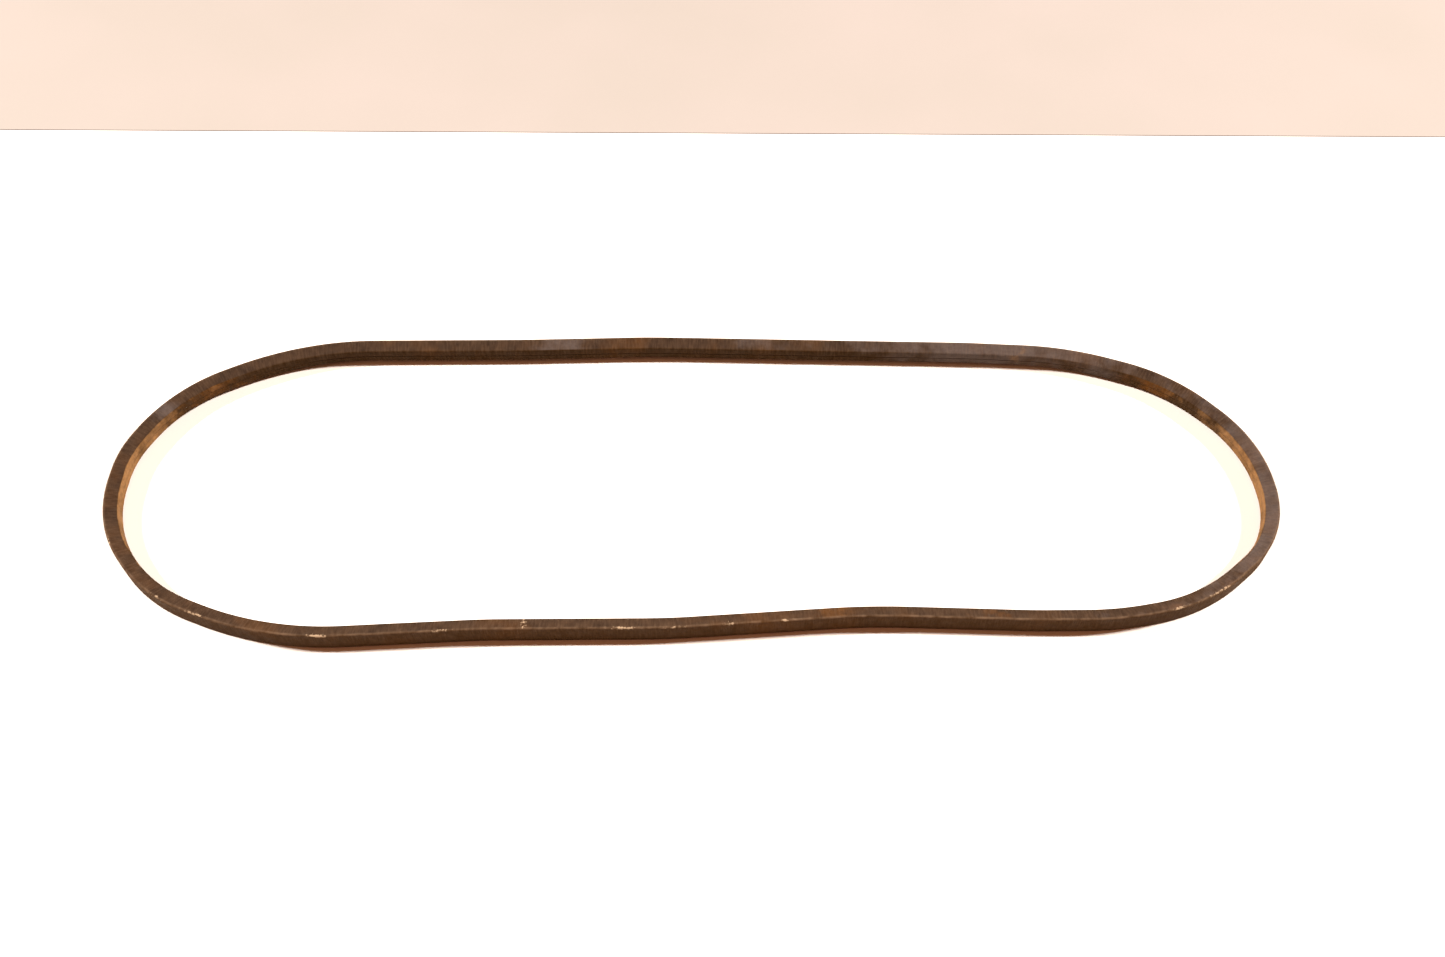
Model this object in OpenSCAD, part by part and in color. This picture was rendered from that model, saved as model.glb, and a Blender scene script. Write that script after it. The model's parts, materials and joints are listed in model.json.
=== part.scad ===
// Wrapped classical V-belt, lying on its side as a free closed loop.
// The wide back faces outward and the narrow base faces inward, so the belt's width stands upright.
// Millimetres, +Z up. The origin is under the middle of the loop, on the surface that the belt lies on.
// Every sub-part is one closed ring: its own cross-section, swept round the same lay of the loop.

/* [Belt section] */
// width of the back, the widest face
belt_w = 13; // [10:0.5:17]
// height of the section from back to base
belt_h = 8; // [6:0.5:11]
// included angle between the two flanks, degrees
wedge_angle = 40; // [34:1:42]
// radius of the jacket's rounded edges
edge_r = 1.0; // [0.4:0.1:2]

/* [Loop] */
// length round the outside of the back
outside_length = 1575; // [1200:5:2400]

/* [Fabric jacket] */
// thickness of the outer rubberised fabric ply
outer_ply_t = 0.45; // [0.3:0.05:0.8]
// thickness of the inner rubberised fabric ply
inner_ply_t = 0.45; // [0.3:0.05:0.8]
// gap between the two edges of a ply at its seam
seam_gap = 0.2; // [0.1:0.05:0.5]

/* [Tension member] */
// rubber between neighbouring turns of the cord
cord_gap = 0.15; // [0.1:0.05:0.4]
// gum between the outermost turn and the jacket
cord_cover = 0.7; // [0.4:0.05:1.5]

/* [Rubber layers] */
// thickness of the cushion between the jacket and the upper gum
cushion_t = 0.85; // [0.5:0.05:2]
// gum beyond the cord, above it and below it
gum_cover = 0.45; // [0.2:0.05:1]

/* [Hidden] */

// turns of the one cord, side by side across the belt, each in its own node
cord_turns = 7;
// how far the flat facets of the lay stay inside its roundings
facet_depth = 0.28;
// sides of the round cord, an even number
cord_sides = 6;

half_angle = wedge_angle / 2;
// what the rounding of an acute edge takes off the width, so that the rounded belt measures belt_w
edge_loss = edge_r * (tan(half_angle) + 1 / cos(half_angle) - cos(half_angle));
jacket_t = outer_ply_t + inner_ply_t;
mid_z = belt_w / 2;
// the turns of the cord fill the gum's width at their own centre line, half a cord and its gum
// below the cushion, so the cord's diameter follows from the width that the wedge leaves there
cord_room = belt_w + 2 * edge_loss - 2 * jacket_t / cos(half_angle)
    - 2 * (jacket_t + cushion_t + gum_cover) * tan(half_angle);
cord_d = (cord_room - 2 * cord_cover - (cord_turns - 1) * cord_gap) / (cord_turns + tan(half_angle));
cord_pitch = cord_d + cord_gap;
gum_t = cord_d / 2 + gum_cover;
cord_depth = jacket_t + cushion_t + gum_t;
// section levels, outward from the cord's centre line
back_x = cord_depth;
base_x = cord_depth - belt_h;

// ---- lay of the loop ----------------------------------------------------------------------------
// The belt lies along straight edges between these corners, each corner rounded by its own radius:
// [x, y, radius], anticlockwise from the right-hand end, before scaling to the outside length.
corners = [
    [338.5, 21, 86], [296, 71.5, 106], [236, 94, 185], [176, 98, 400], [-25, 104.5, 400],
    [-105, 103, 400], [-244, 103.2, 180], [-316, 65, 92], [-337, 20, 66], [-337.5, -30, 84],
    [-300.5, -77, 100], [-229, -106, 190], [-112, -100.5, 400], [-10, -100.5, 400], [100, -93.5, 400],
    [190, -97, 400], [236, -97, 190], [286, -87.5, 108], [338.5, -43.5, 66]
];
last_corner = len(corners) - 1;

function total(list, i = 0) = i == len(list) ? 0 : list[i] + total(list, i + 1);
function corner(i) = corners[(i + len(corners)) % len(corners)];
function edge(i) = [corner(i + 1).x - corner(i).x, corner(i + 1).y - corner(i).y];
function heading(i) = atan2(edge(i).y, edge(i).x);
function outward(h) = [sin(h), -cos(h)];
// degrees turned at a corner, anticlockwise positive
function turning(i) =
    let (d = heading(i) - heading(i - 1))
    d > 180 ? d - 360 : d < -180 ? d + 360 : d;
// how much of each edge a corner's rounding takes
function taken(i) = corner(i)[2] * tan(abs(turning(i)) / 2);
function lay_length(i) =
    corner(i)[2] * abs(turning(i)) * PI / 180 + norm(edge(i)) - taken(i) - taken(i + 1);

// the cord's line is shorter than the back by one full turn of its depth
cord_line_length = outside_length - 2 * PI * cord_depth;
lay_scale = cord_line_length / total([for (i = [0:last_corner]) lay_length(i)]);

// cross-sections round corner i: [x, y, heading], at both ends of its rounding and between
function corner_stations(i) =
    let (turn = turning(i), h = heading(i - 1),
         steps = ceil(abs(turn) / (2 * acos(1 - facet_depth / corner(i)[2]))),
         side = sign(turn) * corner(i)[2], start = [corner(i).x, corner(i).y] - [cos(h), sin(h)] * taken(i),
         centre = start - outward(h) * side)
    [for (k = [0:steps])
        let (at = h + turn * k / steps, p = (centre + outward(at) * side) * lay_scale)
        [p.x, p.y, at]];

laid = [for (i = [0:last_corner]) each corner_stations(i)];
// the middle of the box round the back, moved to the origin
back_points = [for (s = laid) [s.x, s.y] + outward(s[2]) * back_x];
function middle(values) = (min(values) + max(values)) / 2;
shift = [middle([for (p = back_points) p.x]), middle([for (p = back_points) p.y])];
stations = [for (s = laid) [s.x - shift.x, s.y - shift.y, s[2]]];

// ---- cross-sections -----------------------------------------------------------------------------
// Section coordinates: x is outward from the cord's line, y is up from the surface, anticlockwise.
function half_width(x, inset) =
    belt_w / 2 + edge_loss - (back_x - x) * tan(half_angle) - inset / cos(half_angle);

// the points that round corner b of a polygon, between its neighbours a and c
function rounded(a, b, c, r, steps) =
    r <= 0 ? [b] :
    let (u = (a - b) / norm(a - b), v = (c - b) / norm(c - b), between = acos(u * v),
         centre = b + (u + v) / norm(u + v) * r / sin(between / 2),
         first = b + u * r / tan(between / 2) - centre)
    [for (k = [0:steps])
        let (t = (180 - between) * k / steps)
        centre + [first.x * cos(t) - first.y * sin(t), first.x * sin(t) + first.y * cos(t)]];

// the wedge's corners between two levels: outer low, outer high, inner high, inner low
function wedge_corners(outer_x, inner_x, inset) =
    let (wo = half_width(outer_x, inset), wi = half_width(inner_x, inset))
    [[outer_x, mid_z - wo], [outer_x, mid_z + wo], [inner_x, mid_z + wi], [inner_x, mid_z - wi]];

// that wedge's outline from its corner number first, with a radius for its outer and its inner pair
function wedge(outer_x, inner_x, inset, outer_r, inner_r, steps, first = 0) =
    let (p = wedge_corners(outer_x, inner_x, inset), r = [outer_r, outer_r, inner_r, inner_r])
    [for (k = [first:first + 3]) each rounded(p[(k + 3) % 4], p[k % 4], p[(k + 1) % 4], r[k % 4], steps)];

function whole_wedge(inset, steps, first) =
    wedge(back_x - inset, base_x + inset, inset, edge_r - inset, edge_r - inset, steps, first);

// a fabric ply's open band, its two edges meeting at a seam in the middle of the back or the base
function ply(inset, thickness, outer_steps, inner_steps, seam_on_back) =
    let (first = seam_on_back ? 1 : 3, half_gap = (seam_on_back ? 1 : -1) * seam_gap / 2,
         outer_level = seam_on_back ? back_x - inset : base_x + inset,
         inner_level = outer_level + (seam_on_back ? -thickness : thickness),
         inner = whole_wedge(inset + thickness, inner_steps, first))
    [[outer_level, mid_z + half_gap], each whole_wedge(inset, outer_steps, first),
     [outer_level, mid_z - half_gap], [inner_level, mid_z - half_gap],
     for (k = [len(inner) - 1:-1:0]) inner[k],
     [inner_level, mid_z + half_gap]];

function lane_z(turn) = mid_z + (turn - (cord_turns + 1) / 2) * cord_pitch;

// points round the cord in one lane, from angle a to angle b
function cord_arc(turn, a, b) =
    let (steps = round(abs(b - a) * cord_sides / 360))
    [for (k = [0:steps])
        let (t = a + (b - a) * k / steps)
        [cos(t) * cord_d / 2, lane_z(turn) + sin(t) * cord_d / 2]];

// the gum above the cord's line, with a half-round bed for every turn, and the gum below it
function upper_gum() =
    let (p = wedge_corners(gum_t, 0, jacket_t))
    [p[0], p[1], p[2], for (turn = [cord_turns:-1:1]) each cord_arc(turn, 90, -90), p[3]];

function lower_gum() =
    let (p = wedge_corners(0, -gum_t, jacket_t))
    [p[0], for (turn = [1:cord_turns]) each cord_arc(turn, 270, 90), p[1], p[2], p[3]];

// ---- sweeping -----------------------------------------------------------------------------------
// a closed ring with this cross-section all round the lay
module ring(section) {
    m = len(section);
    n = len(stations);
    points = [for (s = stations, q = section)
        [s.x + q.x * outward(s[2]).x, s.y + q.x * outward(s[2]).y, q.y]];
    faces = [for (i = [0:n - 1], j = [0:m - 1])
        let (a = i * m, b = (i + 1) % n * m, k = (j + 1) % m)
        [a + j, a + k, b + k, b + j]];
    polyhedron(points = points, faces = faces, convexity = 4);
}

// ---- sub-parts ----------------------------------------------------------------------------------
// woven rubberised fabric, the outside of the belt, its seam in the middle of the base
module cover_outer_ply() {
    color("#5c4c3e") ring(ply(0, outer_ply_t, 2, 1, false));
}

// the fabric ply under it, its seam in the middle of the back
module cover_inner_ply() {
    color("#4a4038") ring(ply(outer_ply_t, inner_ply_t, 1, 1, true));
}

// rubber between the jacket's back and the upper gum
module top_cushion() {
    color("#2b2826")
        ring(wedge(back_x - jacket_t, gum_t, jacket_t, edge_r - jacket_t, 0, 1));
}

// soft gum that beds the outer half of the cords
module upper_adhesion_gum() {
    color("#3a3532") ring(upper_gum());
}

// one turn of the cord, in its own lane across the belt, its sides in line with the gum's beds
module tension_cord_turn(turn) {
    color("ivory") ring([for (k = [0:cord_sides - 1]) cord_arc(turn, 90, 450)[k]]);
}

// soft gum that beds the inner half of the cords
module lower_adhesion_gum() {
    color("#3a3532") ring(lower_gum());
}

// the rubber wedge that carries the side load
module compression_core() {
    color("#2b2826")
        ring(wedge(-gum_t, base_x + jacket_t, jacket_t, 0, edge_r - jacket_t, 1));
}

cover_outer_ply();
cover_inner_ply();
top_cushion();
upper_adhesion_gum();
tension_cord_turn(1);  // tension_cord_turn_1
tension_cord_turn(2);  // tension_cord_turn_2
tension_cord_turn(3);  // tension_cord_turn_3
tension_cord_turn(4);  // tension_cord_turn_4
tension_cord_turn(5);  // tension_cord_turn_5
tension_cord_turn(6);  // tension_cord_turn_6
tension_cord_turn(7);  // tension_cord_turn_7
lower_adhesion_gum();
compression_core();
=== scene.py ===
"""A worn, wrapped V-belt lying on its side on a pale table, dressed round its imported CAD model."""

import json
import logging
import math
from dataclasses import dataclass
from enum import Enum

import bpy
import numpy as np
from mathutils import Matrix, Vector

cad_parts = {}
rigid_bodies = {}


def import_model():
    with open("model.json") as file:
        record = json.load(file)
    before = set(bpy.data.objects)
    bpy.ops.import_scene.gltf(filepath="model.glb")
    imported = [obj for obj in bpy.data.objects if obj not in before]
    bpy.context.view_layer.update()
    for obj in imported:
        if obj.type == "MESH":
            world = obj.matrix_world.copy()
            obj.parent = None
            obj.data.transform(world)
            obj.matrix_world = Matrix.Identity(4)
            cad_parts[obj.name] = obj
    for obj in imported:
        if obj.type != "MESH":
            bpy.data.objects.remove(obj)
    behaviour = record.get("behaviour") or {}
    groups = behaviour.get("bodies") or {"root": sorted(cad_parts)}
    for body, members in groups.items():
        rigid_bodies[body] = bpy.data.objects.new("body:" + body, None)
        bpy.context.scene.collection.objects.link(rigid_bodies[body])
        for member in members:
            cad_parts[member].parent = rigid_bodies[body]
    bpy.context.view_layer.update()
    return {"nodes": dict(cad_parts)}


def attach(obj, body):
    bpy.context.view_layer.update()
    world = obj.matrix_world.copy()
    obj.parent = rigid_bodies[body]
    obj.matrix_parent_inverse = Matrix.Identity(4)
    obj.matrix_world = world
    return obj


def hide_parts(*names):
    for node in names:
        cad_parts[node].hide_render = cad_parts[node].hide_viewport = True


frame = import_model()

LOG = logging.getLogger("belt")
MM = 0.001
# the CAD's own values, in millimetres: depth of the cord's line under the back, and the ply
CORD_DEPTH = 2.754
PLY_THICKNESS = 0.45
SEAM_GAP = 0.2
# how closely the visible ply follows the lay: its chords' sag and their length, in millimetres
FINE_SAG = 0.01
FINE_REACH = 1.4
# the fabric's threads run at this angle to the belt
BIAS = math.radians(45)

Socket = bpy.types.NodeSocket
Tree = bpy.types.NodeTree


# ---- colours and nodes --------------------------------------------------------------------------
def linear(hex_colour: str) -> tuple[float, float, float, float]:
    """Turn an sRGB hex colour into linear RGBA.

    Args:
        hex_colour: Six hex digits after a hash.

    Returns:
        Linear red, green and blue, with an alpha of 1.
    """
    parts = [int(hex_colour[i : i + 2], 16) / 255 for i in (1, 3, 5)]
    return (*[p / 12.92 if p <= 0.04045 else ((p + 0.055) / 1.055) ** 2.4 for p in parts], 1.0)


def add(tree: Tree, kind: str, links: dict | None = None, **settings: object) -> bpy.types.Node:
    """Add a node, set its properties, and set or link its inputs.

    Args:
        tree: The tree that gets the node.
        kind: The node's type name.
        links: Input name or number, to a socket to link or a value to set.
        settings: Properties of the node itself.

    Returns:
        The new node.
    """
    made = tree.nodes.new(kind)
    for name, value in settings.items():
        setattr(made, name, value)
    for key, value in (links or {}).items():
        if isinstance(value, Socket):
            tree.links.new(value, made.inputs[key])
        else:
            made.inputs[key].default_value = value
    return made


# ---- the loop's lay and the belt's section -------------------------------------------------------
@dataclass(frozen=True)
class Corner:
    """A corner of the lay before it is rounded, in millimetres."""

    x: float
    y: float
    radius: float


@dataclass
class Trace:
    """The cord's line round the loop, point by point, in metres."""

    points: np.ndarray
    outward: np.ndarray
    run: np.ndarray
    length: float


@dataclass
class Lay:
    """How the free loop lies on the table: straight edges with rounded corners, as in the CAD."""

    corners: tuple[Corner, ...] = (
        Corner(338.5, 21, 86), Corner(296, 71.5, 106), Corner(236, 94, 185), Corner(176, 98, 400),
        Corner(-25, 104.5, 400), Corner(-105, 103, 400), Corner(-244, 103.2, 180), Corner(-316, 65, 92),
        Corner(-337, 20, 66), Corner(-337.5, -30, 84), Corner(-300.5, -77, 100), Corner(-229, -106, 190),
        Corner(-112, -100.5, 400), Corner(-10, -100.5, 400), Corner(100, -93.5, 400), Corner(190, -97, 400),
        Corner(236, -97, 190), Corner(286, -87.5, 108), Corner(338.5, -43.5, 66),
    )
    outside_length: float = 1575.0
    cord_depth: float = CORD_DEPTH
    facet_depth: float = 0.28

    def edge(self, i: int) -> np.ndarray:
        """The edge vector from corner i to the next one.

        Args:
            i: The edge's number.

        Returns:
            The vector in millimetres.
        """
        a, b = self.corners[i % len(self.corners)], self.corners[(i + 1) % len(self.corners)]
        return np.array([b.x - a.x, b.y - a.y])

    def heading(self, i: int) -> float:
        """The heading of edge i, in degrees.

        Args:
            i: The edge's number.

        Returns:
            The heading.
        """
        e = self.edge(i)
        return math.degrees(math.atan2(e[1], e[0]))

    def turning(self, i: int) -> float:
        """Degrees turned at corner i, anticlockwise positive.

        Args:
            i: The corner's number.

        Returns:
            The turn.
        """
        return (self.heading(i) - self.heading(i - 1) + 180) % 360 - 180

    def taken(self, i: int) -> float:
        """How much of each neighbouring edge corner i's rounding takes.

        Args:
            i: The corner's number.

        Returns:
            The length in millimetres.
        """
        return self.corners[i % len(self.corners)].radius * math.tan(math.radians(abs(self.turning(i)) / 2))

    def straight(self, i: int) -> float:
        """The length of edge i that stays straight.

        Args:
            i: The edge's number.

        Returns:
            The length in millimetres.
        """
        return float(np.linalg.norm(self.edge(i))) - self.taken(i) - self.taken(i + 1)

    def arc(self, i: int) -> float:
        """The length of corner i's rounding.

        Args:
            i: The corner's number.

        Returns:
            The length in millimetres.
        """
        return self.corners[i].radius * math.radians(abs(self.turning(i)))

    def stations(self, sag: float, reach: float = math.inf) -> np.ndarray:
        """Points and headings round the loop, before it is scaled and centred.

        Args:
            sag: The most millimetres that a chord may stay inside its rounding.
            reach: The most millimetres between two stations.

        Returns:
            Rows of x, y and heading in degrees.
        """
        rows = []
        for i, c in enumerate(self.corners):
            turn, h = self.turning(i), self.heading(i - 1)
            side = math.copysign(c.radius, turn)
            step = math.degrees(2 * math.acos(1 - sag / c.radius))
            steps = max(math.ceil(abs(turn) / step), math.ceil(self.arc(i) / reach))
            start = np.array([c.x, c.y]) - direction(h) * self.taken(i)
            centre = start - right_of(h) * side
            for k in range(steps + 1):
                at = h + turn * k / steps
                rows.append([*(centre + right_of(at) * side), at])
            spans = max(1, math.ceil(self.straight(i) / reach))
            end = np.array(rows[-1][:2])
            for k in range(1, spans):
                rows.append([*(end + direction(self.heading(i)) * self.straight(i) * k / spans), rows[-1][2]])
        return np.array(rows)

    def trace(self, sag: float, reach: float) -> Trace:
        """The scaled and centred cord line.

        Args:
            sag: The most millimetres that a chord may stay inside its rounding.
            reach: The most millimetres between two points.

        Returns:
            The line's points, outward directions and run in metres.
        """
        total = sum(self.arc(i) + self.straight(i) for i in range(len(self.corners)))
        scale = (self.outside_length - 2 * math.pi * self.cord_depth) / total
        coarse = self.stations(self.facet_depth)
        back = coarse[:, :2] * scale + np.array([right_of(h) for h in coarse[:, 2]]) * self.cord_depth
        shift = (back.min(axis=0) + back.max(axis=0)) / 2
        fine = self.stations(sag, reach)
        points = (fine[:, :2] * scale - shift) * MM
        outward = np.array([right_of(h) for h in fine[:, 2]])
        gaps = np.linalg.norm(np.roll(points, -1, axis=0) - points, axis=1)
        run = np.concatenate([[0.0], np.cumsum(gaps)[:-1]])
        return Trace(points, outward, run, float(gaps.sum()))


def direction(heading: float) -> np.ndarray:
    """The unit vector along a heading in degrees.

    Args:
        heading: The heading in degrees.

    Returns:
        The unit vector.
    """
    return np.array([math.cos(math.radians(heading)), math.sin(math.radians(heading))])


def right_of(heading: float) -> np.ndarray:
    """The unit vector to the right of a heading: outward, on a loop that runs anticlockwise.

    Args:
        heading: The heading in degrees.

    Returns:
        The unit vector.
    """
    return np.array([math.sin(math.radians(heading)), -math.cos(math.radians(heading))])


@dataclass
class Section:
    """The classical wedge section: x outward from the cord's line, z up from the table, in millimetres."""

    width: float = 13.0
    height: float = 8.0
    wedge_angle: float = 40.0
    edge_radius: float = 1.0
    cord_depth: float = CORD_DEPTH

    @property
    def half_angle(self) -> float:
        """Half the wedge angle, in radians.

        Returns:
            The angle.
        """
        return math.radians(self.wedge_angle / 2)

    @property
    def middle(self) -> float:
        """Height of the section's mid-plane.

        Returns:
            The height in millimetres.
        """
        return self.width / 2

    @property
    def back(self) -> float:
        """Level of the back face.

        Returns:
            The level in millimetres.
        """
        return self.cord_depth

    @property
    def base(self) -> float:
        """Level of the base face.

        Returns:
            The level in millimetres.
        """
        return self.cord_depth - self.height

    def half_width(self, level: float, inset: float) -> float:
        """Half the wedge's width at a level, with sharp edges, inside an inset.

        Args:
            level: The level, outward from the cord's line.
            inset: How far inside the belt's surface.

        Returns:
            Half the width in millimetres.
        """
        a = self.half_angle
        loss = self.edge_radius * (math.tan(a) + 1 / math.cos(a) - math.cos(a))
        return self.width / 2 + loss - (self.back - level) * math.tan(a) - inset / math.cos(a)

    def corners(self, inset: float) -> list[np.ndarray]:
        """The sharp corners: back low, back high, base high, base low.

        Args:
            inset: How far inside the belt's surface.

        Returns:
            The four corners.
        """
        rows = []
        for level, sign in ((self.back - inset, -1), (self.back - inset, 1),
                            (self.base + inset, 1), (self.base + inset, -1)):
            rows.append(np.array([level, self.middle + sign * self.half_width(level, inset)]))
        return rows

    def outline(self, inset: float, steps: int, pitch: float, seam: float) -> np.ndarray:
        """The rounded wedge's outline, open at a seam in the middle of the base.

        Args:
            inset: How far inside the belt's surface.
            steps: Steps in each rounded edge.
            pitch: The most millimetres between points on the flat faces.
            seam: The gap between the two ends at the seam.

        Returns:
            Points anticlockwise from the seam's lower lip to its upper lip.
        """
        p = self.corners(inset)
        radius = self.edge_radius - inset
        bends = [rounded(p[(k + 3) % 4], p[k % 4], p[(k + 1) % 4], radius, steps) for k in (3, 0, 1, 2)]
        base = self.base + inset
        stops = [np.array([base, self.middle - seam / 2])]
        for bend in bends:
            stops += between(stops[-1], bend[0], pitch) + bend
        end = np.array([base, self.middle + seam / 2])
        return np.array(stops + between(stops[-1], end, pitch) + [end])


def rounded(a: np.ndarray, b: np.ndarray, c: np.ndarray, radius: float, steps: int) -> list[np.ndarray]:
    """The points that round corner b between its neighbours.

    Args:
        a: The corner before.
        b: The corner to round.
        c: The corner after.
        radius: Radius of the rounding.
        steps: Steps in the rounding.

    Returns:
        The points along the arc, both ends included.
    """
    u, v = (a - b) / np.linalg.norm(a - b), (c - b) / np.linalg.norm(c - b)
    inside = math.acos(float(u @ v))
    centre = b + (u + v) / np.linalg.norm(u + v) * radius / math.sin(inside / 2)
    first = b + u * radius / math.tan(inside / 2) - centre
    points = []
    for k in range(steps + 1):
        t = (math.pi - inside) * k / steps
        turn = np.array([[math.cos(t), -math.sin(t)], [math.sin(t), math.cos(t)]])
        points.append(centre + turn @ first)
    return points


def between(a: np.ndarray, b: np.ndarray, pitch: float) -> list[np.ndarray]:
    """Points strictly between a and b, no further apart than the pitch.

    Args:
        a: The first end.
        b: The last end.
        pitch: The most that two points may be apart.

    Returns:
        The points, neither end included.
    """
    spans = max(1, math.ceil(float(np.linalg.norm(b - a)) / pitch))
    return [a + (b - a) * k / spans for k in range(1, spans)]


# ---- the fabric jacket's outer ply --------------------------------------------------------------
class Face(Enum):
    """The faces of the belt on which a mark can lie."""

    RIDGE = "upper edge of the back"
    FLANK = "upper flank"
    BACK = "back"
    BASE = "base"


class Tone(Enum):
    """What a mark is made of, or the light that it paints; each has an attribute of the same name on the
    jacket's mesh.
    """

    THREAD = "bare_thread"
    TAN = "tan_dust"
    RUST = "rust_stain"
    BLOOM = "grey_bloom"


@dataclass(frozen=True)
class Mark:
    """A mark of wear or dirt, or a patch of painted light.

    Attributes:
        at: Its middle, in millimetres along the run from the right-hand end.
        length: Its length in millimetres.
        face: The face that it lies on.
        tone: What it is made of, or the light that it paints.
        strength: How strong it is, from 0 to 1.
    """

    at: float
    length: float
    face: Face
    tone: Tone
    strength: float


# the marks on each face, of each tone: where, how long and how strong
MARK_ROWS = {
    (Face.RIDGE, Tone.THREAD): (
        (1470, 24, 0.5), (1443, 8, 0.7), (1228, 8, 0.5), (1198, 5, 0.8), (1168, 10, 0.5), (1140, 14, 1.0),
        (1042, 9, 0.7), (975, 12, 1.0), (905, 14, 0.5), (880, 10, 0.5), (830, 8, 0.5)),
    (Face.FLANK, Tone.THREAD): ((1086, 3, 0.4),),
    (Face.FLANK, Tone.TAN): ((185, 7, 0.35),),
    # the two long tan stretches on the base, at 790 and 1550 round the loop's ends, are painted light from
    # the side lamps; the short one is dust
    (Face.BASE, Tone.TAN): ((190, 12, 0.45), (790, 170, 1.0), (1550, 180, 1.0)),
    (Face.BASE, Tone.RUST): ((700, 110, 0.55), (102, 40, 0.9)),
    # the grey stretches on the base at 215 and 138, near the right-hand end, are painted haze from the
    # stronger light on the right
    (Face.BASE, Tone.BLOOM): ((215, 150, 1.0), (138, 34, 0.9)),
    (Face.FLANK, Tone.RUST): ((1258, 34, 0.5), (1340, 60, 0.3), (1440, 50, 0.3)),
    # the long grey stretches on the flank at 200 and 1540, round the right-hand end, are painted haze from
    # the stronger light on the right; the shorter ones are bloom
    (Face.FLANK, Tone.BLOOM): (
        (726, 20, 0.9), (475, 50, 0.9), (350, 70, 0.5), (200, 230, 1.0), (1540, 260, 0.9)),
}
MARKS = tuple(Mark(at, length, face, tone, strength)
              for (face, tone), rows in MARK_ROWS.items() for at, length, strength in rows)


def line_object(name: str, points: np.ndarray, closed: bool, **values: np.ndarray) -> bpy.types.Object:
    """A line of vertices and edges that carries values at its points.

    Args:
        name: The object's name.
        points: Rows of x, y and z.
        closed: Whether the last point joins the first.
        values: Named values, one for each point.

    Returns:
        The new object, not linked to the scene.
    """
    count = len(points)
    edges = [(i, i + 1) for i in range(count - 1)] + ([(count - 1, 0)] if closed else [])
    mesh = bpy.data.meshes.new(name)
    mesh.from_pydata([tuple(p) for p in points], edges, [])
    for key, row in values.items():
        mesh.attributes.new(key, "FLOAT", "POINT").data.foreach_set("value", row.astype(np.float32))
    return bpy.data.objects.new(name, mesh)


def sweep_tree(material: bpy.types.Material) -> Tree:
    """The node tree that sweeps a profile round the lay and roughens its skin.

    Args:
        material: The material that every face gets.

    Returns:
        The tree, with inputs for the profile, the unevenness, the nap, their lengths and the seed.
    """
    tree = bpy.data.node_groups.new("jacket sweep", "GeometryNodeTree")
    face = tree.interface
    face.new_socket("Geometry", in_out="INPUT", socket_type="NodeSocketGeometry")
    face.new_socket("Profile", in_out="INPUT", socket_type="NodeSocketObject")
    for name in ("Unevenness", "Uneven length", "Nap", "Nap length", "Seed"):
        face.new_socket(name, in_out="INPUT", socket_type="NodeSocketFloat")
    face.new_socket("Geometry", in_out="OUTPUT", socket_type="NodeSocketGeometry")
    given = add(tree, "NodeGroupInput").outputs
    profile = add(tree, "GeometryNodeObjectInfo", {"Object": given["Profile"]})
    section = add(tree, "GeometryNodeMeshToCurve", {"Mesh": profile.outputs["Geometry"]})
    line = add(tree, "GeometryNodeMeshToCurve", {"Mesh": given["Geometry"]})
    upright = add(tree, "GeometryNodeSetCurveNormal", {"Curve": line.outputs[0]}, mode="Z_UP")
    swept = add(tree, "GeometryNodeCurveToMesh",
                {"Curve": upright.outputs[0], "Profile Curve": section.outputs[0]})
    skin = add(tree, "GeometryNodeInputNamedAttribute", {"Name": "skin"}, data_type="FLOAT")
    place = add(tree, "GeometryNodeInputPosition")
    normal = add(tree, "GeometryNodeInputNormal")
    moved = swept.outputs[0]
    for height, length in (("Unevenness", "Uneven length"), ("Nap", "Nap length")):
        scale = add(tree, "ShaderNodeMath", {0: 1.0, 1: given[length]}, operation="DIVIDE")
        noise = add(tree, "ShaderNodeTexNoise", {"Vector": place.outputs[0], "W": given["Seed"],
                    "Scale": scale.outputs[0], "Detail": 2.0}, noise_dimensions="4D")
        centred = add(tree, "ShaderNodeMath", {0: noise.outputs["Fac"], 1: 0.5}, operation="SUBTRACT")
        high = add(tree, "ShaderNodeMath", {0: centred.outputs[0], 1: given[height]}, operation="MULTIPLY")
        kept = add(tree, "ShaderNodeMath", {0: high.outputs[0], 1: skin.outputs[0]}, operation="MULTIPLY")
        push = add(tree, "ShaderNodeVectorMath", {0: normal.outputs[0], "Scale": kept.outputs[0]},
                   operation="SCALE")
        shifted = add(tree, "GeometryNodeSetPosition", {"Geometry": moved, "Offset": push.outputs[0]})
        moved = shifted.outputs[0]
    real = add(tree, "GeometryNodeRealizeInstances", {"Geometry": moved})
    dressed = add(tree, "GeometryNodeSetMaterial", {"Geometry": real.outputs[0], "Material": material})
    add(tree, "NodeGroupOutput", {0: dressed.outputs[0]})
    return tree


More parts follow.
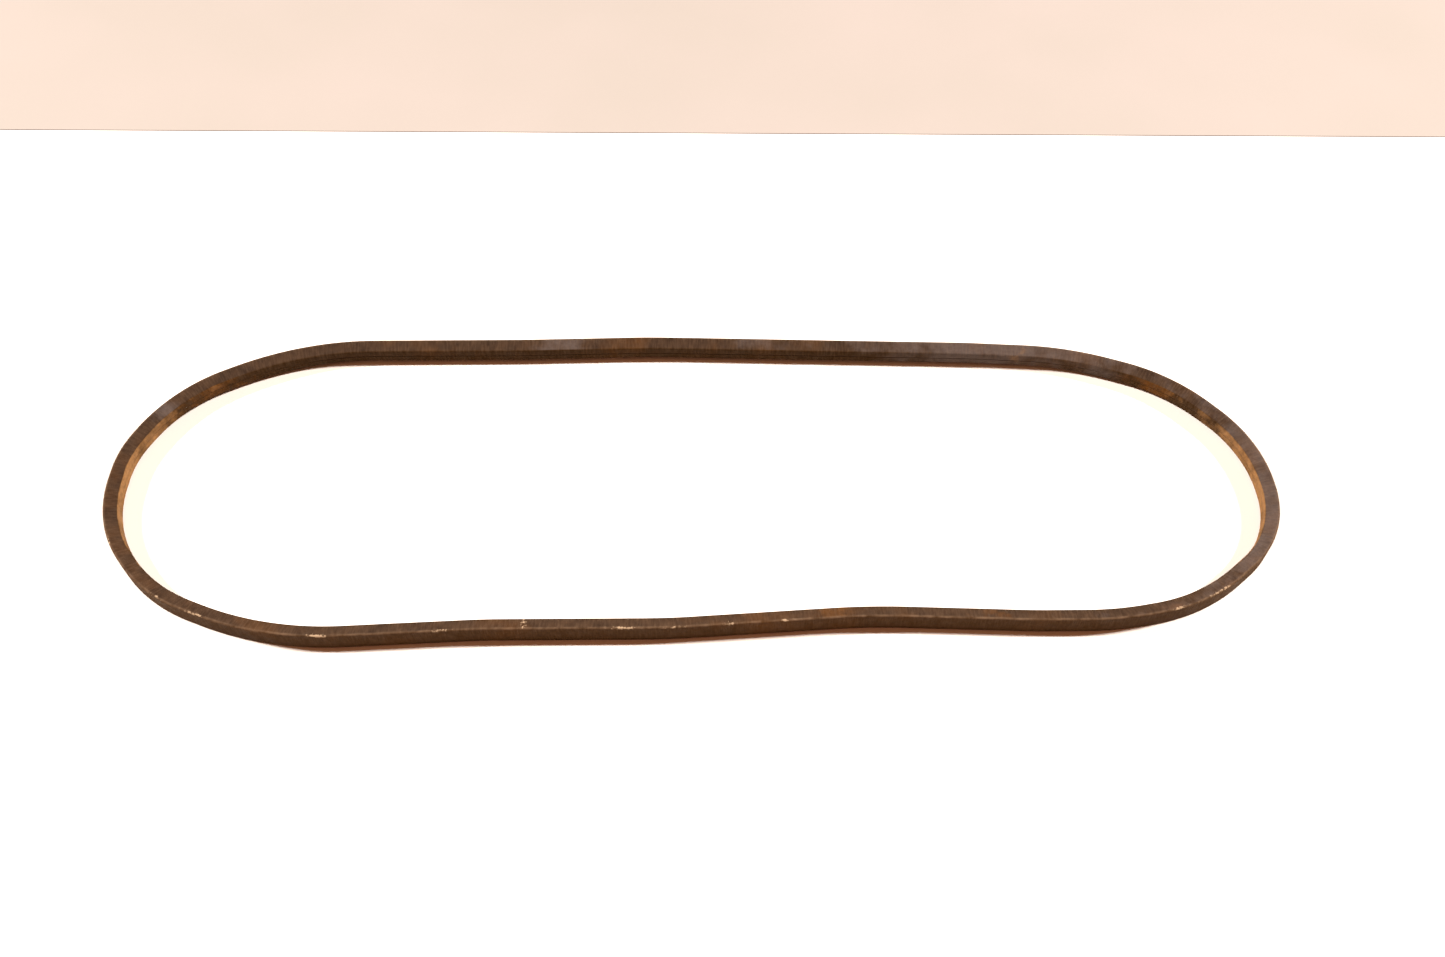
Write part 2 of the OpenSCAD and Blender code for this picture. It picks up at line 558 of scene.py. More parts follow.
def fray_tree(material: bpy.types.Material) -> Tree:
    """The node tree that stands short loose threads where the fabric is rubbed through.

    Args:
        material: The threads' material.

    Returns:
        The tree, with inputs for the density, the thread's length and radius, and the seed.
    """
    tree = bpy.data.node_groups.new("frayed threads", "GeometryNodeTree")
    face = tree.interface
    face.new_socket("Geometry", in_out="INPUT", socket_type="NodeSocketGeometry")
    for name in ("Density", "Length", "Radius"):
        face.new_socket(name, in_out="INPUT", socket_type="NodeSocketFloat")
    face.new_socket("Seed", in_out="INPUT", socket_type="NodeSocketInt")
    face.new_socket("Geometry", in_out="OUTPUT", socket_type="NodeSocketGeometry")
    given = add(tree, "NodeGroupInput").outputs
    bare = add(tree, "GeometryNodeInputNamedAttribute", {"Name": Tone.THREAD.value}, data_type="FLOAT")
    thick = add(tree, "ShaderNodeMath", {0: bare.outputs[0], 1: given["Density"]}, operation="MULTIPLY")
    roots = add(tree, "GeometryNodeDistributePointsOnFaces",
                {"Mesh": given["Geometry"], "Density": thick.outputs[0], "Seed": given["Seed"]})
    half = add(tree, "ShaderNodeMath", {0: given["Length"], 1: 0.5}, operation="MULTIPLY").outputs[0]
    bend = add(tree, "ShaderNodeCombineXYZ", {"X": half, "Z": half})
    tip = add(tree, "ShaderNodeCombineXYZ", {"X": given["Length"], "Z": half})
    thread = add(tree, "GeometryNodeCurveQuadraticBezier",
                 {"Resolution": 5, "Start": (0, 0, 0), "Middle": bend.outputs[0], "End": tip.outputs[0]})
    round_ = add(tree, "GeometryNodeCurvePrimitiveCircle", {"Resolution": 4, "Radius": given["Radius"]})
    tube = add(tree, "GeometryNodeCurveToMesh",
               {"Curve": thread.outputs[0], "Profile Curve": round_.outputs[0], "Fill Caps": True})
    spin = add(tree, "FunctionNodeRandomValue", {0: (-0.5, -0.3, 0.0), 1: (0.5, 0.3, 2 * math.pi),
                                                 "Seed": given["Seed"]}, data_type="FLOAT_VECTOR")
    size = add(tree, "FunctionNodeRandomValue", {2: 0.35, 3: 1.0, "Seed": given["Seed"]}, data_type="FLOAT")
    turned = add(tree, "FunctionNodeRotateRotation", {0: roots.outputs["Rotation"], 1: spin.outputs[0]},
                 rotation_space="LOCAL")
    stood = add(tree, "GeometryNodeInstanceOnPoints", {"Points": roots.outputs["Points"],
                "Instance": tube.outputs[0], "Rotation": turned.outputs[0], "Scale": size.outputs[1]})
    real = add(tree, "GeometryNodeRealizeInstances", {"Geometry": stood.outputs[0]})
    dressed = add(tree, "GeometryNodeSetMaterial", {"Geometry": real.outputs[0], "Material": material})
    add(tree, "NodeGroupOutput", {0: dressed.outputs[0]})
    return tree


def made_mesh(source: bpy.types.Object, tree: Tree, name: str, **inputs: object) -> bpy.types.Object:
    """Run a node tree on an object and keep the result as a plain mesh object.

    Args:
        source: The object that the tree starts from.
        tree: The tree to run.
        name: The new object's name.
        inputs: The tree's inputs by name, with underscores for spaces.

    Returns:
        The new object, linked to the scene.
    """
    scene = bpy.context.scene.collection.objects
    scene.link(source)
    modifier = source.modifiers.new(name, "NODES")
    modifier.node_group = tree
    sockets = {s.name: s.identifier for s in tree.interface.items_tree if s.in_out == "INPUT"}
    for key, value in inputs.items():
        modifier[sockets[key.replace("_", " ")]] = value
    graph = bpy.context.evaluated_depsgraph_get()
    mesh = bpy.data.meshes.new_from_object(source.evaluated_get(graph))
    mesh.name = name
    made = bpy.data.objects.new(name, mesh)
    scene.link(made)
    bpy.data.objects.remove(source)
    return made


def values_of(mesh: bpy.types.Mesh, name: str) -> np.ndarray:
    """A float attribute's values at the mesh's points.

    Args:
        mesh: The mesh.
        name: The attribute's name.

    Returns:
        One value for each point.
    """
    values = np.zeros(len(mesh.vertices), np.float32)
    mesh.attributes[name].data.foreach_get("value", values)
    return values.astype(float)


def store(mesh: bpy.types.Mesh, name: str, values: np.ndarray) -> None:
    """Store a float attribute at the mesh's points.

    Args:
        mesh: The mesh.
        name: The attribute's name.
        values: One value for each point.
    """
    found = mesh.attributes.get(name) or mesh.attributes.new(name, "FLOAT", "POINT")
    found.data.foreach_set("value", values.astype(np.float32))


def smooth(low: float, high: float, values: np.ndarray) -> np.ndarray:
    """A smooth rise from 0 at low to 1 at high.

    Args:
        low: Where the rise starts.
        high: Where it ends.
        values: The values to judge.

    Returns:
        The rise at each value.
    """
    t = np.clip((values - low) / (high - low), 0, 1)
    return t * t * (3 - 2 * t)


# ---- finishes -----------------------------------------------------------------------------------
def object_place(tree: Tree) -> Socket:
    """The object coordinates, in metres.

    Args:
        tree: The material's tree.

    Returns:
        The coordinates.
    """
    return add(tree, "ShaderNodeTexCoord").outputs["Object"]


def clouds(tree: Tree, place: Socket, size_mm: float, detail: float = 3.0,
           sharp: tuple[float, float] = (0.35, 0.65)) -> Socket:
    """Noise of a real size, spread between 0 and 1.

    Args:
        tree: The material's tree.
        place: The coordinates, in metres.
        size_mm: The size of one patch in millimetres.
        detail: How many finer octaves are added.
        sharp: The noise values that become 0 and 1.

    Returns:
        The spread noise.
    """
    noise = add(tree, "ShaderNodeTexNoise", {"Vector": place, "Scale": 1 / (size_mm * MM), "Detail": detail,
                                              "Roughness": 0.6})
    spread = add(tree, "ShaderNodeMapRange", {"Value": noise.outputs["Fac"], "From Min": sharp[0],
                                               "From Max": sharp[1]})
    return spread.outputs[0]


def attribute(tree: Tree, name: str) -> Socket:
    """A float attribute of the mesh.

    Args:
        tree: The material's tree.
        name: The attribute's name.

    Returns:
        Its value.
    """
    return add(tree, "ShaderNodeAttribute", attribute_name=name).outputs["Fac"]


def cloth_place(tree: Tree, stretch: tuple[float, float, float]) -> Socket:
    """The cloth map's run and girth, in metres, stretched.

    Args:
        tree: The material's tree.
        stretch: The scale along the run, round the girth and across both.

    Returns:
        The coordinates.
    """
    uv = add(tree, "ShaderNodeUVMap", uv_map="cloth").outputs[0]
    return add(tree, "ShaderNodeMapping", {"Vector": uv, "Scale": stretch}).outputs[0]


def patchy(tree: Tree, amount: Socket, noise: Socket, edge: float) -> Socket:
    """Break an amount into patches, which start where the noise is high.

    Args:
        tree: The material's tree.
        amount: How much of the surface is covered, from 0 to 1.
        noise: Noise between 0 and 1.
        edge: How sharp the patches' edges are.

    Returns:
        The patches' strength, from 0 to 1.
    """
    total = add(tree, "ShaderNodeMath", {0: amount, 1: noise}, operation="ADD").outputs[0]
    over = add(tree, "ShaderNodeMath", {0: total, 1: 1.0}, operation="SUBTRACT").outputs[0]
    return times(tree, over, edge)


def times(tree: Tree, a: Socket | float, b: Socket | float) -> Socket:
    """The product of two values, kept between 0 and 1.

    Args:
        tree: The tree.
        a: One value.
        b: The other.

    Returns:
        The product.
    """
    return add(tree, "ShaderNodeMath", {0: a, 1: b}, operation="MULTIPLY", use_clamp=True).outputs[0]


def mix_colour(tree: Tree, share: Socket, a: Socket | tuple, b: Socket | tuple) -> Socket:
    """A colour between a and b by a share.

    Args:
        tree: The material's tree.
        share: How much of b, from 0 to 1.
        a: One colour.
        b: The other.

    Returns:
        The colour.
    """
    return add(tree, "ShaderNodeMix", {0: share, 6: a, 7: b}, data_type="RGBA").outputs[2]


def ranged(tree: Tree, value: Socket, low: float, high: float) -> Socket:
    """Spread a value from 0 to 1 over another range.

    Args:
        tree: The material's tree.
        value: The value.
        low: What 0 becomes.
        high: What 1 becomes.

    Returns:
        The spread value.
    """
    return add(tree, "ShaderNodeMapRange", {"Value": value, "To Min": low, "To Max": high}).outputs[0]


def weave(tree: Tree, spacing_mm: float) -> Socket:
    """A plain weave's height on the piece's own UV map, laid on the bias.

    Args:
        tree: The material's tree.
        spacing_mm: The distance between neighbouring threads.

    Returns:
        The height, from 0 between the threads to 1 on their crowns.
    """
    uv = add(tree, "ShaderNodeUVMap", uv_map="cloth").outputs[0]
    bias = add(tree, "ShaderNodeMapping", {"Vector": uv, "Rotation": (0, 0, BIAS)}).outputs[0]
    parts = add(tree, "ShaderNodeSeparateXYZ", {0: bias})
    threads = []
    for axis in (0, 1):
        turn = add(tree, "ShaderNodeMath", {0: parts.outputs[axis], 1: math.pi / (spacing_mm * MM)},
                   operation="MULTIPLY")
        threads.append(add(tree, "ShaderNodeMath", {0: turn.outputs[0]}, operation="SINE").outputs[0])
    over = add(tree, "ShaderNodeMath", {0: threads[0], 1: threads[1]}, operation="MULTIPLY")
    side = add(tree, "ShaderNodeMath", {0: over.outputs[0], 1: 0.0}, operation="GREATER_THAN")
    crowns = [add(tree, "ShaderNodeMath", {0: t}, operation="ABSOLUTE").outputs[0] for t in threads]
    return add(tree, "ShaderNodeMix", {0: side.outputs[0], 2: crowns[0], 3: crowns[1]},
               data_type="FLOAT").outputs[0]


def finish_material(material: bpy.types.Material, colour: Socket, roughness: Socket, bump: Socket,
                    depth_mm: float, **fixed: object) -> None:
    """Join a colour, a roughness and a bump to the material's shader.

    Args:
        material: The material.
        colour: The base colour.
        roughness: The roughness.
        bump: The bump's height, from 0 to 1.
        depth_mm: The height of a full bump.
        fixed: Uniform inputs of the shader, with underscores for spaces.
    """
    tree = material.node_tree
    normal = add(tree, "ShaderNodeBump", {"Height": bump, "Distance": depth_mm * MM, "Strength": 1.0})
    links = {"Base Color": colour, "Roughness": roughness, "Normal": normal.outputs[0]}
    links.update({key.replace("_", " "): value for key, value in fixed.items()})
    shader = add(tree, "ShaderNodeBsdfPrincipled", links)
    add(tree, "ShaderNodeOutputMaterial", {"Surface": shader.outputs[0]})


def new_material(name: str) -> bpy.types.Material:
    """An empty node material.

    Args:
        name: The material's name.

    Returns:
        The material.
    """
    material = bpy.data.materials.new(name)
    material.use_nodes = True
    material.node_tree.nodes.clear()
    return material


@dataclass(frozen=True)
class WornJacketFabric:
    """Rubber-impregnated cotton duck, rubbed and dusty: matt, grey-brown, with rust-brown dust; its base has
    painted shade, both ends of the loop painted light, and the right-hand end painted haze.

    The rubber fills the weave, so its threads show as a fine, shallow bias grain.
    """

    flank: str = "#3b2a1d"
    flank_dark: str = "#2b1d13"
    back: str = "#3b250c"
    # the base is painted darker than the back: painted shade, where the base faces the camera and gets little
    # light
    base: str = "#2f1c05"
    # tan: dust, and on the base at both ends of the loop painted light from the side lamps
    tan: str = "#8c663f"
    rust: str = "#613a10"
    # grey: bloom, and round the right-hand end painted haze from the stronger light there
    bloom_and_haze: str = "#4f443f"
    thread: str = "#a58d72"
    rubbed: str = "#77604c"
    thread_mm: float = 0.9
    mottle_mm: float = 9.0
    patch_mm: float = 11.0
    dust_mm: float = 38.0
    grime_mm: float = 1.6
    streak_mm: float = 1.1
    wear_mm: float = 6.0
    tear_mm: float = 1.5
    grit_mm: float = 0.7
    patch_edge: float = 1.6
    tear_edge: float = 3.0
    dust: float = 0.3
    grime: float = 0.35
    crown_rub: float = 0.2
    ridge_rub: float = 0.6
    grain_mm: float = 0.12

    def material(self) -> bpy.types.Material:
        """The finished material.

        Returns:
            The material.
        """
        made = new_material("worn_jacket_fabric")
        tree = made.node_tree
        place = object_place(tree)
        threads = weave(tree, self.thread_mm)
        mottled = clouds(tree, place, self.mottle_mm)
        flank = mix_colour(tree, mottled, linear(self.flank_dark), linear(self.flank))
        colour = mix_colour(tree, attribute(tree, "back"), flank, linear(self.back))
        # the base face takes the darker base colour: painted shade
        colour = mix_colour(tree, attribute(tree, "base"), colour, linear(self.base))
        patches = ranged(tree, clouds(tree, place, self.patch_mm, 5.0, (0.3, 0.68)), 0.3, 1.0)
        # grey, rust and tan patches: the grey round the right-hand end is painted haze, the tan on the base
        # at both ends painted light
        for tone, tint, strength in ((Tone.BLOOM, self.bloom_and_haze, 0.85), (Tone.RUST, self.rust, 0.8),
                                     (Tone.TAN, self.tan, 0.9)):
            share = times(tree, patchy(tree, attribute(tree, tone.value), patches, self.patch_edge), strength)
            colour = mix_colour(tree, share, colour, linear(tint))
        dusty = times(tree, clouds(tree, place, self.dust_mm, 4.0, (0.52, 0.75)), self.dust)
        colour = mix_colour(tree, dusty, colour, linear(self.rust))
        grime = times(tree, clouds(tree, place, self.grime_mm, 2.0, (0.4, 0.8)), self.grime)
        colour = mix_colour(tree, grime, colour, linear(self.flank_dark))
        streaks = clouds(tree, cloth_place(tree, (1.0, 0.15, 1.0)), self.streak_mm, 2.0, (0.4, 0.66))
        crowns = times(tree, times(tree, streaks, threads), self.crown_rub)
        colour = mix_colour(tree, crowns, colour, linear(self.rubbed))
        uneven = clouds(tree, place, self.wear_mm, 4.0, (0.3, 0.7))
        worn = times(tree, attribute(tree, "ridge"), uneven)
        colour = mix_colour(tree, times(tree, worn, self.ridge_rub), colour, linear(self.rubbed))
        torn = patchy(tree, attribute(tree, Tone.THREAD.value),
                      clouds(tree, place, self.tear_mm, 4.0, (0.3, 0.62)), self.tear_edge)
        colour = mix_colour(tree, torn, colour, linear(self.thread))
        rough = ranged(tree, mottled, 0.62, 0.85)
        grain = add(tree, "ShaderNodeMix", {0: 0.5, 2: threads, 3: clouds(tree, place, self.grit_mm, 2.0)},
                    data_type="FLOAT").outputs[0]
        finish_material(made, colour, rough, grain, self.grain_mm, Sheen_Weight=0.03, Sheen_Roughness=0.5,
                        Sheen_Tint=linear("#c8b090"), Specular_IOR_Level=0.05)
        return made


@dataclass(frozen=True)
class PlyFabric:
    """The inner fabric ply, frictioned with fresh rubber: black-brown, matt, its weave less worn."""

    rubber: str = "#1d1916"
    thread: str = "#3a3029"

    def material(self) -> bpy.types.Material:
        """The finished material.

        Returns:
            The material.
        """
        made = new_material("frictioned_ply_fabric")
        tree = made.node_tree
        place = object_place(tree)
        turned = add(tree, "ShaderNodeMapping", {"Vector": place, "Rotation": (0, 0, BIAS)})
        cells = add(tree, "ShaderNodeTexBrick", {"Vector": turned.outputs[0], "Scale": 1 / (1.8 * MM),
                    "Mortar Size": 0.08, "Color1": linear(self.thread), "Color2": linear(self.rubber),
                    "Mortar": linear(self.rubber)})
        colour = mix_colour(tree, clouds(tree, place, 6.0), cells.outputs["Color"], linear(self.rubber))
        rough = ranged(tree, clouds(tree, place, 4.0), 0.6, 0.8)
        finish_material(made, colour, rough, cells.outputs["Fac"], 0.1)
        return made


@dataclass(frozen=True)
class CalenderedRubber:
    """Black-filled rubber from the calender: matt, faintly streaked, with fine grit."""

    name: str
    dark: str
    light: str
    roughness: float

    def material(self) -> bpy.types.Material:
        """The finished material.

        Returns:
            The material.
        """
        made = new_material(self.name)
        tree = made.node_tree
        place = object_place(tree)
        colour = mix_colour(tree, clouds(tree, place, 5.0), linear(self.dark), linear(self.light))
        rough = ranged(tree, clouds(tree, place, 3.0), self.roughness - 0.08, self.roughness + 0.08)
        finish_material(made, colour, rough, clouds(tree, place, 0.5, 2.0), 0.05)
        return made


@dataclass(frozen=True)
class TwistedCord:
    """Polyester cord, plied and dipped in adhesive: pale straw, its plies showing as slanted bands."""

    light: str = "#cbb894"
    dark: str = "#8d7650"
    ply_mm: float = 1.6

    def material(self) -> bpy.types.Material:
        """The finished material.

        Returns:
            The material.
        """
        made = new_material("dipped_polyester_cord")
        tree = made.node_tree
        place = object_place(tree)
        slanted = add(tree, "ShaderNodeMapping", {"Vector": place, "Rotation": (0.5, 0.6, 0.4)})
        plies = add(tree, "ShaderNodeTexWave",
                    {"Vector": slanted.outputs[0], "Scale": 0.314 / (self.ply_mm * MM),
                     "Distortion": 0.6, "Detail": 1.0}, wave_type="BANDS")
        colour = mix_colour(tree, plies.outputs["Fac"], linear(self.dark), linear(self.light))
        rough = ranged(tree, clouds(tree, place, 2.0), 0.5, 0.7)
        finish_material(made, colour, rough, plies.outputs["Fac"], 0.15)
        return made


@dataclass(frozen=True)
class LooseCotton:
    """Cotton threads pulled out of the worn duck: dusty straw, matt and fuzzy."""

    light: str = "#c4a985"
    dark: str = "#7c6142"

    def material(self) -> bpy.types.Material:
        """The finished material.

        Returns:
            The material.
        """
        made = new_material("loose_cotton_thread")
        tree = made.node_tree
        place = object_place(tree)
        soiled = clouds(tree, place, 3.0)
        colour = mix_colour(tree, soiled, linear(self.light), linear(self.dark))
        rough = ranged(tree, soiled, 0.8, 0.95)
        finish_material(made, colour, rough, clouds(tree, place, 0.2), 0.02, Sheen_Weight=0.3)
        return made


@dataclass(frozen=True)
class PaintedBoard:
    """A smooth painted board under strong light: the table, its rear edge or the floor beyond it."""

    name: str
    colour: str
    shade: str

    def material(self) -> bpy.types.Material:
        """The finished material.

        Returns:
            The material.
        """
        made = new_material(self.name)
        tree = made.node_tree
        place = object_place(tree)
        colour = mix_colour(tree, clouds(tree, place, 400.0, 2.0), linear(self.colour), linear(self.shade))
        rough = ranged(tree, clouds(tree, place, 60.0), 0.7, 0.8)
        finish_material(made, colour, rough, clouds(tree, place, 3.0), 0.01, Specular_IOR_Level=0.2)
        return made


# ---- sub-assemblies -----------------------------------------------------------------------------
@dataclass
class Jacket:
    """The outer fabric ply, swept round the lay with its wear, dirt and painted light and shade."""

    section: Section
    trace: Trace
    finish: WornJacketFabric
    thickness: float = PLY_THICKNESS
    seam: float = SEAM_GAP
    unevenness: float = 0.16
    uneven_length: float = 45.0
    nap: float = 0.07
    nap_length: float = 1.8
    sweep_seed: float = 4.0
    # steps in a rounded edge and millimetres between points, on the skin and on the hidden wall
    skin_steps: int = 5
    skin_pitch: float = 0.75
    wall_steps: int = 3
    wall_pitch: float = 2.5
    # where the back and the base fade into the flank, in millimetres from each face
    face_fade: tuple[float, float] = (0.25, 0.9)
    flank_fade: float = 0.8
    crest: float = 0.8
    crest_fade: float = 0.45
    # a mark's spread, as a share of its length
    mark_spread: float = 0.42
    # threads per square millimetre, and their size in millimetres
    frays: float = 1.2
    fray_length: float = 1.7
    fray_radius: float = 0.05
    fray_seed: int = 7
    marks: tuple[Mark, ...] = MARKS

    def profile(self) -> tuple[np.ndarray, np.ndarray, np.ndarray]:
        """The ply's closed profile.

        Returns:
            Its points, the distance along it in metres, and 1 on the outer skin or 0 on the inner wall.
        """
        outer = self.section.outline(0.0, self.skin_steps, self.skin_pitch, self.seam)
        inner = self.section.outline(self.thickness, self.wall_steps, self.wall_pitch, self.seam)[::-1]
        points = np.vstack([outer, inner])
        gaps = np.linalg.norm(np.diff(points, axis=0), axis=1)
        girth = np.concatenate([[0.0], np.cumsum(gaps)]) * MM
        skin = np.concatenate([np.ones(len(outer)), np.zeros(len(inner))])
        return points, girth, skin

    def build(self) -> bpy.types.Object:
        """Sweep the ply, mark its wear and painted light, and give it its cloth map.

        Returns:
            The finished piece.
        """
        points, girth, skin = self.profile()
        flat = np.column_stack([points[:, 0] * MM, -points[:, 1] * MM, np.zeros(len(points))])
        profile = line_object("jacket profile", flat, True, girth=girth, skin=skin, level=points[:, 0],
                              rise=points[:, 1])
        route = np.column_stack([self.trace.points, np.zeros(len(self.trace.points))])
        path = line_object("jacket path", route, True, run=self.trace.run)
        piece = made_mesh(path, sweep_tree(self.finish.material()), "cover_outer_ply_fabric",
                          Profile=profile, Unevenness=self.unevenness * MM,
                          Uneven_length=self.uneven_length * MM, Nap=self.nap * MM,
                          Nap_length=self.nap_length * MM, Seed=self.sweep_seed)
        bpy.data.objects.remove(profile)
        self.mark_wear(piece.data)
        self.map_cloth(piece.data)
        piece.data.polygons.foreach_set("use_smooth", [True] * len(piece.data.polygons))
        return piece

    def fray(self, cover: bpy.types.Object) -> bpy.types.Object:
        """Loose threads on the bare spots of the finished cover.

        Args:
            cover: The finished cover.

        Returns:
            The threads as one piece.
        """
        ground = bpy.data.objects.new("fray ground", cover.data.copy())
        return made_mesh(ground, fray_tree(LooseCotton().material()), "frayed_threads",
                         Density=self.frays / (MM * MM), Length=self.fray_length * MM,
                         Radius=self.fray_radius * MM, Seed=self.fray_seed)

    def mark_wear(self, mesh: bpy.types.Mesh) -> None:
        """Store where the faces, the rubbed edges, the scuffs and the patches of painted light are.

        Args:
            mesh: The cover's mesh.
        """
        level, rise, skin, run = (values_of(mesh, n) for n in ("level", "rise", "skin", "run"))
        s = self.section
        near, far = self.face_fade
        back = smooth(s.back - far, s.back - near, level)
        base = 1 - smooth(s.base + near, s.base + far, level)
        edge = s.corners(0.0)[1]
        reach = np.hypot(level - edge[0], np.abs(rise - s.middle) - (edge[1] - s.middle))
        crest = np.exp(-(np.maximum(reach - self.crest, 0) / self.crest_fade) ** 2)
        upper = rise > s.middle
        across = {
            Face.RIDGE: crest * upper,
            Face.FLANK: smooth(s.base, s.base + self.flank_fade, level) * (1 - back) * upper,
            Face.BACK: back,
            Face.BASE: base,
        }
        whole = self.trace.length / MM
        tones = {tone: np.zeros(len(level)) for tone in Tone}
        for mark in self.marks:
            away = np.abs((run / MM - mark.at + whole / 2) % whole - whole / 2)
            along = np.exp(-((away / (self.mark_spread * mark.length)) ** 2))
            here = mark.strength * along * across[mark.face] * skin
            tones[mark.tone] = np.maximum(tones[mark.tone], here)
        for name, values in (("back", back), ("base", base), ("ridge", crest * skin)):
            store(mesh, name, values)
        for tone, values in tones.items():
            store(mesh, tone.value, values)

    def map_cloth(self, mesh: bpy.types.Mesh) -> None:
        """Lay the cloth map: the run along the belt and the distance round its section, in metres.

        Args:
            mesh: The cover's mesh.
        """
        corners = np.zeros(len(mesh.loops), np.int32)
        mesh.loops.foreach_get("vertex_index", corners)
        quads = corners.reshape(-1, 4)
        sides = []
        for name, whole in (("run", self.trace.length), ("girth", None)):
            values = values_of(mesh, name)[quads]
            whole = whole or values.max() + self.thickness * MM
            wrapped = values + whole * ((values.max(axis=1, keepdims=True) - values) > whole / 2)
            sides.append(wrapped.reshape(-1))
        layer = mesh.uv_layers.new(name="cloth")
        layer.data.foreach_set("uv", np.column_stack(sides).reshape(-1).astype(np.float32))


@dataclass
class Inside:
    """The plies, rubbers and cord turns under the jacket: the CAD's own solids, dressed."""

    nodes: dict[str, bpy.types.Object]

    def dress(self) -> list[str]:
        """Give each inner node its finish.

        Returns:
            The names of the nodes dressed.
        """
        gum = CalenderedRubber("adhesion_gum", "#2a2420", "#3b322b", 0.62).material()
        rubber = CalenderedRubber("black_wedge_rubber", "#141312", "#211f1d", 0.68).material()
        cushion = CalenderedRubber("black_cushion_rubber", "#171514", "#26221f", 0.6).material()
        cord = TwistedCord().material()
        finishes = {"cover_inner_ply": PlyFabric().material(), "top_cushion": cushion,
                    "upper_adhesion_gum": gum, "lower_adhesion_gum": gum, "compression_core": rubber}
        done = []
        for name, node in self.nodes.items():
            chosen = cord if name.startswith("tension_cord_turn") else finishes.get(name)
            if chosen:
                node.data.materials.clear()
                node.data.materials.append(chosen)
                done.append(name)
        return done


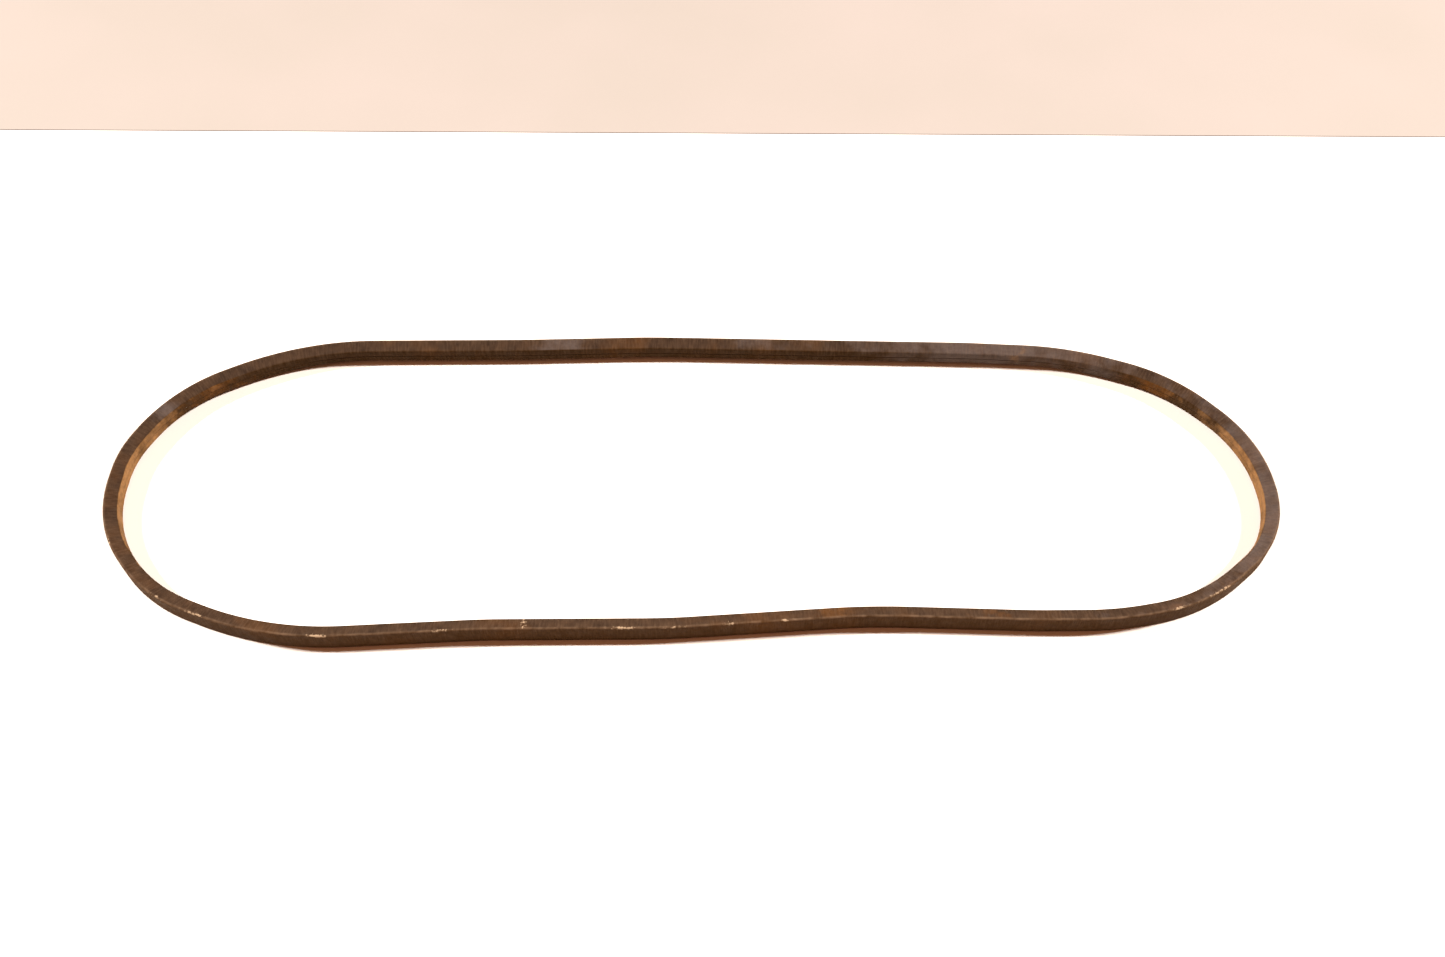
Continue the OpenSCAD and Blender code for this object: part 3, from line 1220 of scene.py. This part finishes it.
@dataclass
class Studio:
    """The table, what lies beyond it, the lights and the camera."""

    focal_px: float = 1326.3
    frame_px: float = 1445.0
    pitch: float = 54.233
    roll: float = -0.368
    distance: float = 789.6
    aim: tuple[float, float] = (19.2, 5.4)
    table_rear: float = 317.1
    rear_turn: float = -1.0
    gap: float = 1.4
    table_reach: float = 2600.0
    table_top: float = -0.06
    # each lamp's place in metres, mirrored for the second one
    lamp_place: tuple[float, float, float] = (5.0, 1.1, 4.2)
    lamp_size: tuple[float, float] = (0.6, 0.6)
    lamp_watts: float = 850.0
    lamp_colour: str = "#fffaf4"
    room_colour: str = "#ffaa7a"
    room_strength: float = 0.3

    def board(self, name: str, low: tuple, high: tuple, turn: float, finish: PaintedBoard) -> None:
        """A flat slab with its top at high's z.

        Args:
            name: The object's name.
            low: Its lowest corner in millimetres.
            high: Its highest corner in millimetres.
            turn: Degrees turned about the middle of the table's rear edge.
            finish: Its finish.
        """
        spread = Matrix.Rotation(math.radians(turn), 4, "Z")
        pivot = Vector((0, self.table_rear, 0))
        points = [spread @ (Vector((x, y, z)) - pivot) + pivot
                  for z in (low[2], high[2]) for y in (low[1], high[1]) for x in (low[0], high[0])]
        faces = [(0, 2, 3, 1), (4, 5, 7, 6), (0, 1, 5, 4), (2, 6, 7, 3), (0, 4, 6, 2), (1, 3, 7, 5)]
        mesh = bpy.data.meshes.new(name)
        mesh.from_pydata([p * MM for p in points], [], faces)
        mesh.materials.append(finish.material())
        slab = bpy.data.objects.new(name, mesh)
        bpy.context.scene.collection.objects.link(slab)

    def light(self, name: str, place: tuple, size: tuple, watts: float, colour: str) -> None:
        """A soft rectangular light aimed at the middle of the loop.

        Args:
            name: The light's name.
            place: Its place in metres.
            size: Its width and height in metres.
            watts: Its power.
            colour: Its colour.
        """
        lamp = bpy.data.lights.new(name, "AREA")
        lamp.shape, lamp.size, lamp.size_y = "RECTANGLE", size[0], size[1]
        lamp.energy, lamp.color = watts, linear(colour)[:3]
        holder = bpy.data.objects.new(name, lamp)
        holder.location = place
        holder.rotation_euler = (-Vector(place)).to_track_quat("-Z", "Y").to_euler()
        bpy.context.scene.collection.objects.link(holder)

    def build(self) -> None:
        """Set the table, the backdrop, the lights, the camera and the view."""
        reach, rear = self.table_reach, self.table_rear
        self.board("table", (-reach, -reach, -30), (reach, rear, self.table_top), self.rear_turn,
                   PaintedBoard("white_painted_table", "#f4f0ea", "#f2ebe4"))
        self.board("beyond_table", (-6000, 100, -640), (6000, 6000, -600), 0.0,
                   PaintedBoard("pink_floor_beyond", "#a19892", "#9e968f"))
        self.board("gap_behind_table", (-reach, rear, -30), (reach, rear + self.gap, -0.5),
                   self.rear_turn, PaintedBoard("shadowed_rear_edge", "#4a3c34", "#3a2f29"))
        x, y, z = self.lamp_place
        for name, place in (("lamp_right", (x, y, z)), ("lamp_left", (-x, y, z))):
            self.light(name, place, self.lamp_size, self.lamp_watts, self.lamp_colour)
        world = bpy.data.worlds.new("room")
        world.use_nodes = True
        inputs = world.node_tree.nodes["Background"].inputs
        inputs["Color"].default_value = linear(self.room_colour)
        inputs["Strength"].default_value = self.room_strength
        scene = bpy.context.scene
        scene.world = world
        scene.view_settings.view_transform = "Standard"
        scene.view_settings.look = "None"
        scene.camera = self.camera()

    def camera(self) -> bpy.types.Object:
        """The camera, from above and in front of the near strand.

        Returns:
            The camera, linked to the scene.
        """
        pitch, roll = math.radians(self.pitch), math.radians(self.roll)
        ahead = Vector((0, math.cos(pitch), -math.sin(pitch)))
        right, up = Vector((1, 0, 0)), Vector((0, math.sin(pitch), math.cos(pitch)))
        across = right * math.cos(roll) + up * math.sin(roll)
        above = up * math.cos(roll) - right * math.sin(roll)
        lens = bpy.data.cameras.new("camera")
        lens.sensor_width = 36.0
        lens.lens = self.focal_px / self.frame_px * lens.sensor_width
        lens.clip_end = 50.0
        holder = bpy.data.objects.new("camera", lens)
        place = (Vector((*self.aim, 0)) - ahead * self.distance) * MM
        turned = Matrix((across, above, -ahead)).transposed().to_4x4()
        holder.matrix_world = Matrix.Translation(place) @ turned
        bpy.context.scene.collection.objects.link(holder)
        return holder


def main() -> None:
    """Build the studio and the belt, and report each piece."""
    logging.basicConfig(level=logging.INFO, format="%(name)s: %(message)s")
    Studio().build()
    jacket = Jacket(Section(), Lay().trace(FINE_SAG, FINE_REACH), WornJacketFabric())
    cover = jacket.build()
    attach(cover, "root")
    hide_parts("cover_outer_ply")
    threads = jacket.fray(cover)
    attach(threads, "root")
    for piece in (cover, threads):
        LOG.info("%s: %d faces", piece.name, len(piece.data.polygons))
    for name in Inside(frame["nodes"]).dress():
        LOG.info("%s: dressed", name)


if __name__ == "__main__":
    main()
